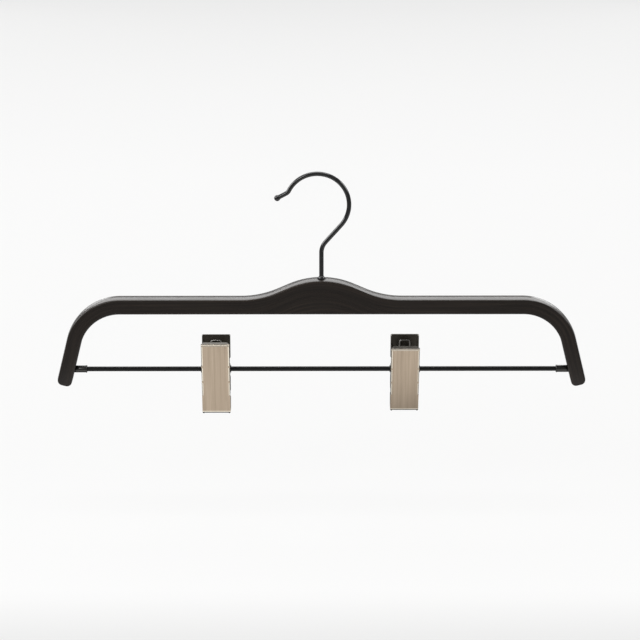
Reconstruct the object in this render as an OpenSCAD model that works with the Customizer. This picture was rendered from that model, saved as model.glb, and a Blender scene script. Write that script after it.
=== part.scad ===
// Trouser hanger: a laminated wood frame that turns on a swivel wire hook, with a
// steel bar between its legs and two sprung clips that slide and swing on the bar.
// Millimetres. The origin is the rail's seat, at the top of the hook's inside.
// +X runs along the bar to the right, +Y to the back and +Z up.

/* [Hook] */
// Diameter of the hook wire
wire_d = 3.2; // [2.4:0.1:4]
// Radius of the round space inside the loop
loop_r = 20.9; // [17:0.1:25]
// How far the shank stands to the right of the rail's seat
shank_x = 2.9; // [0:0.1:6]
// Height of the rail's seat above the crown of the frame
hook_rise = 75.6; // [70:0.1:90]
// Lean of the straight stretch between shank and loop, from upright
neck_lean = 41.5; // [35:0.5:48]
// Radius of the bend between shank and neck, at the middle of the wire
neck_bend_r = 12; // [6:1:14]
// Angle of the loop's far end, counted from +X over the top
loop_end = 151.5; // [140:0.5:160]
// Straight length between the loop and the bend at the tip
tip_gap = 0.6; // [0.5:0.1:3]
// Radius of the small bend that turns the tip outwards
tip_bend_r = 5; // [4:0.5:8]
// Turn of that bend
tip_turn = 33.5; // [25:0.5:45]
// Length of the straight tip up to the middle of its ball
tip_len = 7; // [5:0.5:12]
// Diameter of the ball on the tip
tip_ball_d = 4.4; // [4.2:0.1:6]

/* [Swivel] */
// Diameter of the ball collar on the shank
collar_d = 5.2; // [4.8:0.1:6]
// Height of the collar's middle above the crown
collar_lift = 0.3; // [0:0.1:1]
// Outer diameter of the bush that the shank turns in
bush_d = 6.6; // [6.4:0.1:8]
// Diameter of the pocket for the nut, in the underside
pocket_d = 11; // [10.4:0.2:12]
// Depth of that pocket
pocket_depth = 7; // [5.5:0.5:9]
// Outer diameter of the washer
washer_d = 9.2; // [8:0.2:10]
// Thickness of the washer
washer_t = 0.8; // [0.5:0.1:1.2]
// Width of the nut across its flats
nut_af = 5.5; // [5.5:0.5:7]
// Height of the nut
nut_h = 2.4; // [1.8:0.1:3]
// Length of thread that shows below the nut
thread_show = 1.2; // [0.6:0.1:2]

/* [Frame] */
// Clear width between the legs at the bar
leg_gap = 354.8; // [300:0.1:420]
// Thickness of the laminated board, front to back
board_t = 12.4; // [10:0.1:16]
// Width of the arms and legs, seen from the front
arm_w = 10.8; // [9:0.1:14]
// Height of the crown above the arms
crown_rise = 14; // [10:0.5:18]
// Half the length of the crown along the arm
crown_half = 57.5; // [50:0.5:70]
// Steepness of the crown's flanks: 1 is a straight slope, 2 has arcs alone
crown_ease = 1.72; // [1.5:0.01:1.9]
// Share of the flank's curve that belongs to the crown's own arc
crown_share = 0.47; // [0.4:0.01:0.6]
// Inner radius of the shoulders
shoulder_r = 29; // [22:1:34]
// Lean of the legs from upright
leg_lean = 14.2; // [8:0.1:20]
// Depth of the bar's middle below the arms
bar_drop = 42.6; // [38:0.1:60]
// Length of leg below the bar
leg_below = 11.4; // [8:0.2:20]
// Radius of the corners at the foot of each leg
foot_r = 3.6; // [2:0.1:4]
// Rounding of all the board's long edges
edge_r = 1; // [0.6:0.1:2]

/* [Bar] */
// Diameter of the bar
bar_d = 3.5; // [2.8:0.1:3.8]
// Outer diameter of the ferrules
ferrule_d = 5.1; // [4.6:0.1:6]
// Length of ferrule that shows at the bar's height
ferrule_show = 8.4; // [5:0.2:12]
// Depth of the socket in each leg
socket_depth = 6.8; // [5:0.2:8]
// Height of the lip round each ferrule's open end
lip_h = 0.2; // [0.1:0.05:0.4]
// Length of that lip
lip_l = 0.8; // [0.5:0.1:1.5]

/* [Clips] */
// Place of the left clip, from the middle of the frame
left_x = -76; // [-150:1:-15]
// Swing of the left clip, tops to the front
left_swing = 3.4; // [-20:0.2:20]
// Place of the right clip, from the middle of the frame
right_x = 60; // [15:1:150]
// Swing of the right clip, tops to the front
right_swing = 12.4; // [-20:0.2:20]
// Width of the jaws
jaw_w = 20.4; // [18:0.2:26]
// Length of the front jaw above the bar, along its plate
jaw_above = 24.3; // [20:0.1:26]
// Length of the back jaw above the bar, along its plate
back_above = 23.6; // [20:0.1:26]
// Length of each jaw below the bar, along its plate
jaw_below = 32.3; // [27:0.1:33]
// Thickness of the sheet
sheet = 0.8; // [0.6:0.05:1]
// Outer radius of the folds
fold_r = 1.3; // [1.1:0.05:1.5]
// Distance from the bar's middle to a jaw's outer face
jaw_set = 8.6; // [8.2:0.1:10]
// Lean of each closed jaw
jaw_lean = 8.1; // [7.6:0.1:8.3]
// Depth of the flange at the front jaw's top
top_flange = 4.1; // [3:0.1:5]
// Depth of the flange under both jaws
toe_flange = 3.4; // [2.8:0.1:3.6]
// Depth of the side tabs
tab_depth = 4; // [3:0.1:4.2]
// Taper at each end of the flanges
mitre = 1.8; // [1:0.1:2.5]
// Radius of the ears round the pivot
ear_r = 4; // [3.4:0.1:4.4]
// Half the height of an ear at its root
ear_root = 5.5; // [4.5:0.1:6]
// Lower edge of the tabs above the bar
high_tab = 7; // [6.8:0.1:9]
// Upper edge of the tabs below the bar
low_tab = 6.9; // [6.7:0.1:8]
// Length of the tabs below the bar
low_tab_l = 10.4; // [8:0.2:11]
// Height of the grip pads
pad_h = 9.4; // [8:0.2:10]
// Ridges across each pad
pad_ridges = 4; // [3:1:5]
// Depth of the grooves between ridges
groove = 0.45; // [0.3:0.05:0.6]
// Outer diameter of the pivot sleeve
sleeve_d = 4.4; // [4.2:0.1:4.7]
// Diameter of the sleeve's flared ends
flare_d = 5.6; // [5:0.1:6.4]
// Length of each flare
flare_l = 0.5; // [0.3:0.1:0.8]

/* [Springs] */
// Diameter of the spring wire
spring_wire = 1.2; // [0.8:0.1:1.2]
// Radius of the coils, at the middle of the wire
coil_r = 3.1; // [3:0.1:3.2]
// Full turns in each coil, besides the part turn between its legs
coil_turns = 2; // [1:1:2]
// Half the width of the bridge that joins the coils
bridge_half = 3.7; // [3.2:0.1:4]
// Height of the bridge above the bar
bridge_z = 18; // [15:0.5:20]
// Height of the tips of the front legs above the bar
tip_z = 14; // [11:0.5:17]

/* [Fits] */
// Running clearance round a turning or sliding part
run_gap = 0.05; // [0.02:0.01:0.1]
// Clearance round a part that is pressed or glued in
seat_gap = 0.02; // [0.01:0.01:0.05]
// Clearance at the sides of the ears and between faces that turn on each other
side_gap = 0.2; // [0.15:0.05:0.3]
// Clearance between a closed jaw's pad and the clip's middle
pad_gap = 0.15; // [0.1:0.05:0.3]

/* [Hidden] */
$fn = 48;
over = 1;
// Bends are this much fuller than the straights, which reach this far into them
fuller = 0.01;
lap = 0.2;

crown_z = -hook_rise;
arm_top = crown_z - crown_rise;
arm_under = arm_top - arm_w;
bar_z = arm_under - bar_drop;

// The crown's outline: an arc, a short straight and a hollow arc down to the arm
crown_slope = crown_ease * atan(crown_rise / crown_half);
crown_arcs = (crown_half * sin(crown_slope) - crown_rise * cos(crown_slope)) / (1 - cos(crown_slope));
crown_r = crown_share * crown_arcs;
flank_r = crown_arcs - crown_r;
flank_l = (crown_rise - crown_arcs * (1 - cos(crown_slope))) / sin(crown_slope);
crown_depth = (crown_r + crown_rise + arm_w) / 2;

// The shoulder's middle, found from where the leg meets the bar
shoulder_mid = shoulder_r + arm_w / 2;
shoulder_z = arm_under - shoulder_r;
leg_at_bar = leg_gap / 2 + arm_w / cos(leg_lean) / 2;
leg_top_z = shoulder_z + shoulder_mid * sin(leg_lean);
shoulder_x = leg_at_bar - (leg_top_z - bar_z) * tan(leg_lean) - shoulder_mid * cos(leg_lean);
leg_l = (leg_top_z - bar_z) / cos(leg_lean) + leg_below;

// The hook's path: shank, neck bend, neck, loop, tip bend and tip
wire_r = wire_d / 2;
loop_mid = loop_r + wire_r;
neck_run = (loop_mid * cos(neck_lean) - shank_x) / sin(neck_lean);
neck_z = -loop_r - loop_mid * sin(neck_lean) - neck_run * cos(neck_lean);
bend_run = neck_bend_r * tan(neck_lean / 2);
pocket_z = arm_under + pocket_depth;
washer_z = pocket_z - side_gap - washer_t;
shank_foot = washer_z - nut_h - thread_show;
hook_path = [
    ["run", neck_z - bend_run - shank_foot],
    ["bend", neck_bend_r, neck_lean],
    ["run", neck_run - bend_run],
    ["bend", loop_mid, -neck_lean - loop_end],
    ["run", tip_gap],
    ["bend", tip_bend_r, tip_turn],
    ["run", tip_len]];

// The ferrules reach from their open ends to the bottom of the sockets
ferrule_end = leg_gap / 2 - ferrule_show;
socket_end = leg_gap / 2 + socket_depth;

// A jaw stands upright in its own frame, with the pivot at the origin
jaw_in = -jaw_set + sheet;
front_ear_x = jaw_w / 2;
back_ear_x = jaw_w / 2 - sheet - side_gap;
sleeve_half = jaw_w / 2 + side_gap + flare_l;
pad_top = -jaw_below + sheet + pad_h;

// The spring's wire: where its legs rest on the jaws and leave the coils
spring_r = spring_wire / 2;
coil_out = back_ear_x - sheet - side_gap - spring_r;
bridge_y = face_y(bridge_z, sheet + spring_r + seat_gap);
tip_y = -face_y(tip_z, sheet + spring_r + side_gap);
coil_in_deg = tangent_deg(tip_y, tip_z, 1);
coil_out_deg = tangent_deg(bridge_y, bridge_z, -1) + 360;
coil_sweep = coil_out_deg - coil_in_deg + 360 * coil_turns;
rings_a_turn = 8;
coil_steps = ceil(rings_a_turn * coil_sweep / 360);
bridge_r = 1.4;
half_wire = concat(
    [[-coil_out, tip_y, tip_z]],
    [for (i = [0:coil_steps]) coil_point(i / coil_steps)],
    [bridge_corner(0), bridge_corner(45), bridge_corner(90)]);
whole_wire = concat(half_wire,
    [for (i = [len(half_wire) - 1:-1:0]) [-half_wire[i][0], half_wire[i][1], half_wire[i][2]]]);
turn_gap = min([for (i = [1:coil_steps - 4], j = [i + 4:coil_steps + 1])
    norm(half_wire[i] - half_wire[j])]) - spring_wire;
echo(least_gap_between_turns = turn_gap);

// Distance of a closed jaw's face from the clip's middle, at a height and a depth into the sheet
function face_y(z, depth) =
    ((jaw_set - depth) + z * sin(jaw_lean)) / cos(jaw_lean);

// Angle at which a straight leg from (y, z) touches the coil
function tangent_deg(y, z, side) = atan2(z, y) + side * acos(coil_r / norm([y, z]));

function coil_point(t) = let (a = coil_in_deg + t * coil_sweep)
    [-coil_out + t * (coil_out - bridge_half), coil_r * cos(a), coil_r * sin(a)];

// The wire turns into the bridge on an arc that leans with the leg
function bridge_corner(a) =
    let (exit = [coil_r * cos(coil_out_deg), coil_r * sin(coil_out_deg)],
        up = unit([bridge_y, bridge_z] - exit),
        down = bridge_r * (1 - sin(a)))
    [-bridge_half + bridge_r * (1 - cos(a)), bridge_y - down * up[0], bridge_z - down * up[1]];

function unit(v) = v / norm(v);

// Directions along a path and, square to them, a side vector carried along it
function along(path) = [for (i = [0:len(path) - 1])
    unit(path[min(i + 1, len(path) - 1)] - path[max(i - 1, 0)])];
function square_to(u, t) = unit(u - (u * t) * t);
function sides_of(ways) = [for (i = 0, u = square_to([1, 0.2, 0.1], ways[0]); i < len(ways);
    i = i + 1, u = i < len(ways) ? square_to(u, ways[i]) : u) u];

module tube(path, r, sides) {
    ways = along(path);
    us = sides_of(ways);
    points = [for (i = [0:len(path) - 1], k = [0:sides - 1])
        path[i] + r * (cos(360 * k / sides) * us[i] + sin(360 * k / sides) * cross(ways[i], us[i]))];
    last = (len(path) - 1) * sides;
    skin = [for (i = [0:len(path) - 2], k = [0:sides - 1])
        let (a = i * sides + k, b = i * sides + (k + 1) % sides)
        each [[a, a + sides, b], [b, a + sides, b + sides]]];
    caps = [for (k = [1:sides - 2]) each [[0, k, k + 1], [last, last + k + 1, last + k]]];
    polyhedron(points, concat(skin, caps));
}

// Runs a flat section along X, with the section's x to the back and its y up
module run_x(from, to) {
    translate([from, 0, 0]) rotate([90, 0, 90]) linear_extrude(to - from) children();
}

// Sweeps a section round the Y axis, from one angle to another above +X
module sweep_y(from, to) {
    rotate([90, 0, 0]) rotate([0, 0, from]) rotate_extrude(angle = to - from) children();
}

// The board's section with all four edges rounded
module board_section(more = 0) {
    w = arm_w + 2 * more;
    t = board_t + 2 * more;
    square([arm_w - 2 * edge_r, t], center = true);
    square([w, board_t - 2 * edge_r], center = true);
    for (x = [-1, 1], y = [-1, 1])
        translate([x * (arm_w / 2 - edge_r), y * (board_t / 2 - edge_r)]) circle(edge_r + more);
}

// A strip of the board from x = 0 to its rounded outer edge
module edge_strip(depth, more = 0) {
    flat = board_t / 2 - edge_r;
    translate([0, -board_t / 2 - more]) square([depth - edge_r, board_t + 2 * more]);
    translate([0, -flat]) square([depth + more, 2 * flat]);
    for (y = [-flat, flat]) translate([depth - edge_r, y]) circle(edge_r + more);
}

// A straight flank of the crown and the hollow arc that eases it into the arm
module flank() {
    translate([0, 0, crown_z - crown_r]) rotate([0, crown_slope, 0]) run_x(-lap, flank_l + lap)
        translate([0, crown_r - crown_depth]) rotate(90) edge_strip(crown_depth);
    translate([crown_half, 0, arm_top + flank_r]) sweep_y(270 - crown_slope, 270)
        translate([flank_r + crown_depth, 0]) mirror([1, 0]) edge_strip(crown_depth, fuller);
}

// The crown: one arc between two flanks, with the underside cut straight
module crown() {
    tall = crown_rise + arm_w + over;
    intersection() {
        union() {
            translate([0, 0, crown_z - crown_r]) sweep_y(90 - crown_slope, 90 + crown_slope)
                translate([crown_r - crown_depth, 0]) edge_strip(crown_depth, fuller);
            flank();
            mirror([1, 0, 0]) flank();
        }
        run_x(-crown_half, crown_half) translate([0, arm_under + tall]) rotate(-90)
            edge_strip(tall, fuller);
    }
}

// An arm, a shoulder and a leg with its rounded foot
module frame_side() {
    run_x(crown_half - lap, shoulder_x + lap) translate([0, arm_top - arm_w / 2]) rotate(90)
        board_section();
    foot_flat = arm_w / 2 - foot_r;
    translate([shoulder_x, 0, shoulder_z]) {
        sweep_y(leg_lean, 90) translate([shoulder_mid, 0]) board_section(fuller);
        rotate([0, -leg_lean, 0]) translate([shoulder_mid, 0, foot_r - leg_l]) {
            linear_extrude(leg_l - foot_r + lap) board_section();
            run_x(-foot_flat, foot_flat) rotate(-90) edge_strip(foot_r);
            translate([foot_flat, 0, 0]) sweep_y(-90, 0) edge_strip(foot_r);
            translate([-foot_flat, 0, 0]) sweep_y(180, 270) edge_strip(foot_r);
        }
    }
}

module hanger_frame() {
    bore_r = bush_d / 2 + seat_gap;
    color("#2a211c") translate([shank_x, 0, 0]) difference() {
        union() {
            crown();
            frame_side();
            mirror([1, 0, 0]) frame_side();
        }
        translate([0, 0, arm_under - over]) cylinder(r = bore_r, h = crown_rise + arm_w + 2 * over);
        translate([0, 0, arm_under - over]) cylinder(d = pocket_d, h = pocket_depth + over);
        for (side = [-1, 1])
            translate([side * socket_end, 0, bar_z]) rotate([0, -90 * side, 0])
                cylinder(r = ferrule_d / 2 + seat_gap, h = socket_depth + arm_w);
    }
}

// Wire along a list of runs and bends in one plane, starting up the Z axis
module bent_wire(path, step = 0) {
    if (step < len(path)) {
        if (path[step][0] == "run") {
            start = step > 0 ? -lap : 0;
            translate([0, 0, start]) cylinder(r = wire_r, h = path[step][1] + lap - start);
            translate([0, 0, path[step][1]]) bent_wire(path, step + 1);
        } else {
            turn = path[step][2];
            mid = sign(turn) * path[step][1];
            translate([mid, 0, 0]) {
                mirror([turn < 0 ? 1 : 0, 0, 0]) sweep_y(180 - abs(turn), 180)
                    translate([path[step][1], 0]) circle(wire_r + fuller);
                rotate([0, turn, 0]) translate([-mid, 0, 0]) bent_wire(path, step + 1);
            }
        }
    } else {
        sphere(d = tip_ball_d);
    }
}

module hook() {
    chamfer = wire_r / 3;
    color("#1c1c1c") translate([shank_x, 0, shank_foot]) {
        translate([0, 0, chamfer]) bent_wire(concat([["run", hook_path[0][1] - chamfer]],
            [for (i = [1:len(hook_path) - 1]) hook_path[i]]));
        cylinder(r1 = wire_r - chamfer, r2 = wire_r, h = chamfer);
    }
}

module hook_collar() {
    color("#1c1c1c") translate([shank_x, 0, crown_z + collar_lift]) difference() {
        sphere(d = collar_d);
        cylinder(r = wire_r + seat_gap, h = collar_d + over, center = true);
    }
}

module hook_bush() {
    color("#33302c") translate([shank_x, 0, 0]) difference() {
        translate([0, 0, pocket_z]) cylinder(d = bush_d, h = crown_z - pocket_z);
        translate([0, 0, pocket_z - over])
            cylinder(r = wire_r + run_gap, h = crown_z - pocket_z + 2 * over);
        translate([0, 0, crown_z + collar_lift]) sphere(r = collar_d / 2 + run_gap);
    }
}

module hook_washer() {
    color("silver") translate([shank_x, 0, washer_z]) difference() {
        cylinder(d = washer_d, h = washer_t);
        translate([0, 0, -over]) cylinder(r = wire_r + run_gap, h = washer_t + 2 * over);
    }
}

module hook_nut() {
    color("silver") translate([shank_x, 0, washer_z - nut_h]) difference() {
        cylinder(d = nut_af / cos(30), h = nut_h, $fn = 6);
        translate([0, 0, -over]) cylinder(r = wire_r + seat_gap, h = nut_h + 2 * over);
    }
}

module trouser_bar() {
    half = socket_end - side_gap;
    color("#222222") translate([shank_x - half, 0, bar_z]) rotate([0, 90, 0])
        cylinder(d = bar_d, h = 2 * half);
}

// A tube with a low rounded lip at its open end
module ferrule(side) {
    bore_r = bar_d / 2 + seat_gap;
    length = socket_end - ferrule_end;
    color("#3a3a3a") translate([shank_x + side * ferrule_end, 0, bar_z]) rotate([0, 90 * side, 0])
        difference() {
            union() {
                cylinder(d = ferrule_d, h = length);
                cylinder(d1 = ferrule_d, d2 = ferrule_d + 2 * lip_h, h = lip_l / 2);
                translate([0, 0, lip_l / 2])
                    cylinder(d1 = ferrule_d + 2 * lip_h, d2 = ferrule_d, h = lip_l / 2);
            }
            translate([0, 0, -over]) cylinder(r = bore_r, h = length + 2 * over);
        }
}

// Puts a clip's parts on the bar, swung to their angle
module on_bar(x, swing) {
    translate([shank_x + x, 0, bar_z]) rotate([swing, 0, 0]) children();
}

module as_front() {
    rotate([jaw_lean, 0, 0]) children();
}

module as_back() {
    mirror([0, 1, 0]) rotate([jaw_lean, 0, 0]) children();
}

// A quarter-round fold in the XY plane, from the plate's line to the wall's line
module fold_section() {
    intersection() {
        difference() {
            circle(fold_r);
            circle(fold_r - sheet);
        }
        translate([0, -fold_r]) square(fold_r);
    }
}

// The folds along both sides of the plate between two heights
module side_folds(from, to, x) {
    for (side = [0, 1]) mirror([side, 0, 0]) translate([x - fold_r, fold_r - jaw_set, from])
        linear_extrude(to - from) fold_section();
}

// Those folds with walls that reach back from them
module side_walls(from, to, x, depth) {
    side_folds(from, to, x);
    for (side = [0, 1]) mirror([side, 0, 0]) translate([x - sheet, fold_r - jaw_set, from])
        cube([sheet, depth - fold_r, to - from]);
}

// A fold along X with a flange whose ends taper; it points to the back
module flange(half, depth) {
    rotate([90, 0, 90]) translate([0, 0, -half]) linear_extrude(2 * half)
        translate([fold_r - jaw_set, -fold_r]) rotate(180) fold_section();
    translate([0, fold_r - jaw_set, -sheet]) linear_extrude(sheet)
        polygon([[-half, 0], [half, 0], [half - mitre, depth - fold_r], [mitre - half, depth - fold_r]]);
}

// Flat sheet between two heights, as wide as twice half
module plate(half, from, to) {
    translate([-half, -jaw_set, from]) cube([2 * half, sheet, to - from]);
}

// The ears' outline, run through both sides and drilled for the pivot sleeve
module ears(x) {
    for (side = [0, 1]) mirror([side, 0, 0]) run_x(x - sheet, x) difference() {
        union() {
            polygon([[fold_r - jaw_set, -ear_root], [0, -ear_r], [0, ear_r],
                [fold_r - jaw_set, ear_root]]);
            circle(ear_r);
        }
        circle(sleeve_d / 2 + run_gap);
    }
    side_folds(-ear_root, ear_root, x);
}

// What both jaws share: the rounded toe with its flange and the side tabs
module jaw_common(tab_top) {
    half = jaw_w / 2;
    toe = -jaw_below;
    translate([0, 0, toe]) mirror([0, 0, 1]) flange(half - fold_r, toe_flange);
    plate(half, toe + fold_r, toe + sheet + pad_h);
    for (side = [-1, 1])
        translate([side * (half - fold_r), -jaw_set, toe + fold_r]) intersection() {
            rotate([-90, 0, 0]) cylinder(r = fold_r, h = sheet);
            translate([side > 0 ? 0 : -fold_r, -over, -fold_r]) cube([fold_r, 2 * over, fold_r]);
        }
    side_walls(-low_tab - low_tab_l, -low_tab, half, tab_depth);
    side_walls(high_tab, tab_top, half, tab_depth);
}

module front_jaw() {
    half = jaw_w / 2;
    top = jaw_above - fold_r;
    color("#b09a7c") as_front() {
        jaw_common(top - side_gap);
        plate(half - fold_r, pad_top, top);
        plate(half, pad_top - over, -low_tab - low_tab_l);
        plate(half, -low_tab, -ear_root);
        plate(half, ear_root, high_tab);
        plate(half, top - side_gap, top);
        translate([0, 0, jaw_above]) flange(half, top_flange);
        ears(front_ear_x);
    }
}

module back_jaw() {
    half = jaw_w / 2;
    color("#b09a7c") as_back() {
        jaw_common(back_above);
        plate(half - fold_r, pad_top, -low_tab);
        plate(back_ear_x - fold_r, -low_tab, high_tab);
        plate(half - fold_r, high_tab, back_above);
        ears(back_ear_x);
    }
}

// A wedge of rubber between the plate, the toe flange and the clip's middle
module pad() {
    low = -jaw_below + sheet;
    grip_low = low * tan(jaw_lean) - pad_gap;
    grip_top = pad_top * tan(jaw_lean) - pad_gap;
    pitch = pad_h / (pad_ridges + 1);
    bevel = fold_r - sheet;
    color("#1a1a1a") difference() {
        run_x(-jaw_w / 2, jaw_w / 2)
            polygon([[jaw_in, low + bevel], [jaw_in + bevel, low], [grip_low, low],
                [grip_top, pad_top], [jaw_in, pad_top]]);
        for (i = [1:pad_ridges])
            translate([0, grip_low + (grip_top - grip_low) * i / (pad_ridges + 1), low + i * pitch])
                rotate([0, 90, 0]) cylinder(r = groove, h = jaw_w + over, center = true);
    }
}

// The tube that the ears turn on and that slides along the bar
module sleeve() {
    body = jaw_w / 2 + side_gap;
    color("#262626") rotate([0, 90, 0]) difference() {
        union() {
            cylinder(d = sleeve_d, h = 2 * sleeve_half, center = true);
            for (side = [0, 1]) mirror([0, 0, side]) translate([0, 0, body])
                cylinder(d1 = flare_d, d2 = sleeve_d, h = flare_l);
        }
        cylinder(r = bar_d / 2 + run_gap, h = 2 * sleeve_half + over, center = true);
    }
}

module spring() {
    color("#c8c8c8") tube(whole_wire, spring_r, 6);
}

hook();
hook_collar();
hook_bush();
hook_washer();
hook_nut();
hanger_frame();
trouser_bar();
ferrule(-1);  // left_ferrule
ferrule(1);  // right_ferrule
on_bar(left_x, left_swing) sleeve();  // left_sleeve
on_bar(left_x, left_swing) back_jaw();  // left_back_jaw
on_bar(left_x, left_swing) front_jaw();  // left_front_jaw
on_bar(left_x, left_swing) as_back() pad();  // left_back_pad
on_bar(left_x, left_swing) as_front() pad();  // left_front_pad
on_bar(left_x, left_swing) spring();  // left_spring
on_bar(right_x, right_swing) sleeve();  // right_sleeve
on_bar(right_x, right_swing) back_jaw();  // right_back_jaw
on_bar(right_x, right_swing) front_jaw();  // right_front_jaw
on_bar(right_x, right_swing) as_back() pad();  // right_back_pad
on_bar(right_x, right_swing) as_front() pad();  // right_front_pad
on_bar(right_x, right_swing) spring();  // right_spring
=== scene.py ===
import math
import bpy
import bmesh
from mathutils import Matrix, Vector
from mathutils.bvhtree import BVHTree


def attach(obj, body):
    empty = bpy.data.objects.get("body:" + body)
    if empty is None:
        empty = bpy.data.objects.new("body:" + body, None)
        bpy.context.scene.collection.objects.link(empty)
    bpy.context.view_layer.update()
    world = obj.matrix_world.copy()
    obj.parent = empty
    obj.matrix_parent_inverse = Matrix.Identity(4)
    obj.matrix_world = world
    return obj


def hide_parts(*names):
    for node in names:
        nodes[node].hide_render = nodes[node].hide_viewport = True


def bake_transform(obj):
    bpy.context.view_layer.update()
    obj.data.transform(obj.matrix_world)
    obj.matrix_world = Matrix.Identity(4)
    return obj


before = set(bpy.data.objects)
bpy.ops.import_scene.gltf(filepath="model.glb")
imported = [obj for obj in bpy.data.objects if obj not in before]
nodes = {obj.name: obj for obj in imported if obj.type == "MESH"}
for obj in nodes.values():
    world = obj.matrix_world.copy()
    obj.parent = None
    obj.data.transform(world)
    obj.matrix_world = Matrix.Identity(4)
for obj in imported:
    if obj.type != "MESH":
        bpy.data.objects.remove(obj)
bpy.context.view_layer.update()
print("frame loaded:", len(nodes), "CAD pieces")

mm = 0.001

# the camera stands straight in front and a little above, as in the photo
studio = {
    "cameraAim": (1.857, -6.0, -104.385),   # the point in the middle of the picture, mm
    "cameraDistance": 1800.0,
    "cameraHeightDeg": 17.28,
    "cameraRollDeg": -0.056,
    "pictureWidth": 457.3,                  # mm across the picture at the aim point
    "sensorWidth": 36.0,
    "sight": 20.0,                          # metres
    "paperGrey": 0.10,
    "paperRoughness": 0.95,
    "paperTint": (1, 1, 0.997),
    "paperAsLight": 0.22,                   # how strongly the paper shows in reflections
    # painted glow: how brightly the paper shines by itself from its front edge to far behind, by distance in
    # metres; dimmer from 0.6 to 0.23 m in front of the hanger and towards the far end
    "paperGlowByDepth": [(-1.6, 0.79), (-0.60, 0.725), (-0.27, 0.70), (-0.232, 0.715), (-0.16, 0.825),
                   (-0.05, 0.820), (0.1, 0.800), (1.0, 0.800), (1.45, 0.78), (2.3, 0.720)],
    "floorDrop": 250.0,
    "floorHalf": 7000.0,
    "roomLight": 0.30,                      # the room as a light
    "roomSeen": 0.92,                       # the room where it is looked at
}

hangerMiddle = (0, 0, -0.1)

# name, place and aim in metres, size in metres, watts
lamps = [
    ("keyLight", (-1.3, -1.6, 1.5), hangerMiddle, (0.9, 0.9), 14.0),
    ("rightLight", (1.8, 0.15, 0.8), hangerMiddle, (1.5, 0.9), 17.0),
    ("leftLight", (-1.8, 0.1, 0.8), hangerMiddle, (1.8, 0.9), 24.0),
    ("topLight", (0.0, -0.1, 1.7), hangerMiddle, (1.8, 0.5), 16.0),
    ("backLight", (0.0, 2.0, 1.1), hangerMiddle, (3.0, 1.2), 24.0),
    ("leftShoulderLight", (-0.72, 2.0, 0.10), hangerMiddle, (0.5, 0.5), 1.3),
    ("rightShoulderLight", (0.72, 2.0, 0.10), hangerMiddle, (0.5, 0.5), 1.3),
    ("ridgeLight", (0.0, 0.95, 1.35), (0, 0, -0.12), (1.6, 0.5), 7.0),
    ("tableCard", (0.0, -0.175, -0.245), (0, -0.175, 1.0), (0.8, 0.26), 0.45),   # lights the brass from below
]


def placeCamera(s):
    aim = Vector(s["cameraAim"]) * mm
    height = math.radians(s["cameraHeightDeg"])
    away = Vector((0, -math.cos(height), math.sin(height)))
    cam = bpy.data.cameras.new("pictureCamera")
    cam.sensor_width = s["sensorWidth"]
    cam.lens = s["sensorWidth"] * s["cameraDistance"] / s["pictureWidth"]
    cam.clip_end = s["sight"]
    holder = bpy.data.objects.new("pictureCamera", cam)
    bpy.context.scene.collection.objects.link(holder)
    stand = Matrix.Translation(aim + away * s["cameraDistance"] * mm)
    look = (-away).to_track_quat("-Z", "Y").to_matrix().to_4x4()
    roll = Matrix.Rotation(math.radians(s["cameraRollDeg"]), 4, "Z")
    holder.matrix_world = stand @ look @ roll
    bpy.context.scene.camera = holder


def softLamp(name, place, aim, size, power):
    light = bpy.data.lights.new(name, "AREA")
    light.shape = "RECTANGLE"
    light.size, light.size_y = size
    light.energy = power
    holder = bpy.data.objects.new(name, light)
    holder.location = place
    holder.rotation_euler = (Vector(aim) - Vector(place)).to_track_quat("-Z", "Y").to_euler()
    holder.visible_camera = False
    bpy.context.scene.collection.objects.link(holder)


# small helpers for the node trees of the finishes

noiseLow, noiseHigh = 0.3, 0.7                         # nearly all of a noise pattern lies between these


def newFinish(name):
    finish = bpy.data.materials.new(name)
    finish.use_nodes = True
    tree = finish.node_tree
    return finish, tree, tree.nodes["Principled BSDF"]


def feed(tree, source, target):
    if isinstance(source, bpy.types.NodeSocket):
        tree.links.new(source, target)
    else:
        target.default_value = source


def calc(tree, kind, a, b=0.0, c=0.0):
    node = tree.nodes.new("ShaderNodeMath")
    node.operation = kind
    for slot, value in zip(node.inputs, (a, b, c)):
        feed(tree, value, slot)
    return node.outputs["Value"]


def spread(tree, value, low, high, outLow=0.0, outHigh=1.0):
    node = tree.nodes.new("ShaderNodeMapRange")
    node.interpolation_type = "SMOOTHSTEP"
    tree.links.new(value, node.inputs["Value"])
    node.inputs["From Min"].default_value = low
    node.inputs["From Max"].default_value = high
    node.inputs["To Min"].default_value = outLow
    node.inputs["To Max"].default_value = outHigh
    return node.outputs["Result"]


def turned(tree, source, scale=(1, 1, 1), turn=(0, 0, 0)):
    node = tree.nodes.new("ShaderNodeMapping")
    node.inputs["Scale"].default_value = scale
    node.inputs["Rotation"].default_value = turn
    tree.links.new(source, node.inputs["Vector"])
    return node.outputs["Vector"]


def noise(tree, source, scale, detail=4.0, rough=0.55):
    node = tree.nodes.new("ShaderNodeTexNoise")
    node.inputs["Scale"].default_value = 1.0
    node.inputs["Detail"].default_value = detail
    node.inputs["Roughness"].default_value = rough
    tree.links.new(turned(tree, source, scale), node.inputs["Vector"])
    return node.outputs["Fac"]


def ramp(tree, source, *stops):
    node = tree.nodes.new("ShaderNodeValToRGB")
    band = node.color_ramp
    while len(band.elements) < len(stops):
        band.elements.new(0.5)
    for element, (place, colour) in zip(band.elements, stops):
        element.position = place
        element.color = (*colour, 1)
    tree.links.new(source, node.inputs["Fac"])
    return node.outputs["Color"]


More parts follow.
